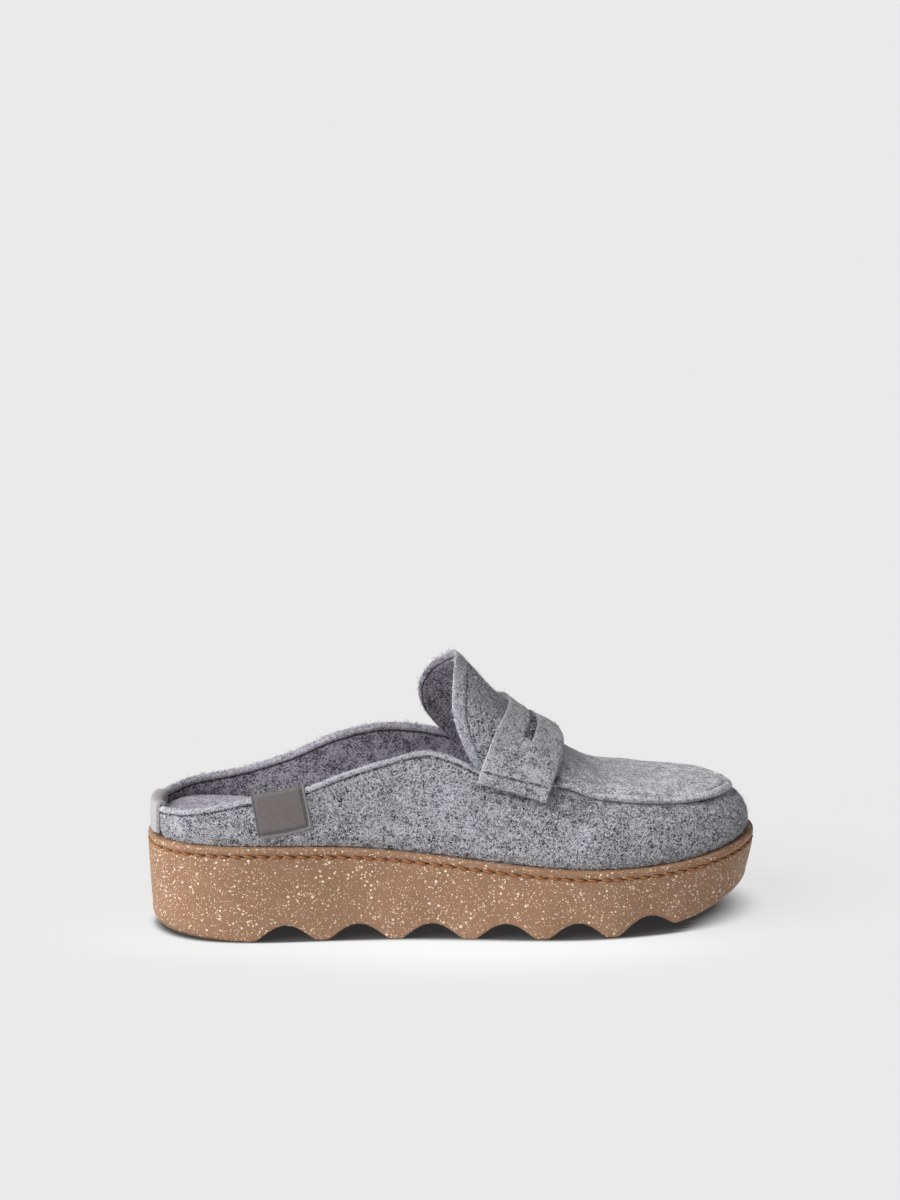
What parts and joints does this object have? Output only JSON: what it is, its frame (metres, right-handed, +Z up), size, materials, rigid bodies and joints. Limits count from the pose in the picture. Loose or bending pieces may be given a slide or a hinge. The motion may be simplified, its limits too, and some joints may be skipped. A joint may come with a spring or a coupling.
{
  "type": "felt slipper",
  "caption": "Low-back felt loafer slipper with a penny strap, tall tongue and moccasin plug on a thick speckled platform sole with a wavy underside.",
  "frame": {"origin": "middle of the footprint, on the floor under the sole", "axes": "+X to the toe, +Y to the inner side of the foot, +Z up"},
  "size_m": [0.265, 0.0984, 0.1172],
  "materials": {
    "sole": "matt moulded tan compound with cream flecks",
    "felt": "heather grey wool felt, raw edges and tonal stitching",
    "insole_felt": "pale grey felt over a soft footbed",
    "heel_tab": "smooth light grey synthetic leather",
    "label": "soft matt taupe synthetic leather"
  },
  "bodies": {
    "root": {"outsole": "sole", "welt": "sole", "insole": "insole_felt", "upper": "felt", "apron": "felt", "tongue": "felt", "saddle_strap": "felt", "heel_tab": "heel_tab", "side_label": "label"}
  },
  "joints": []
}
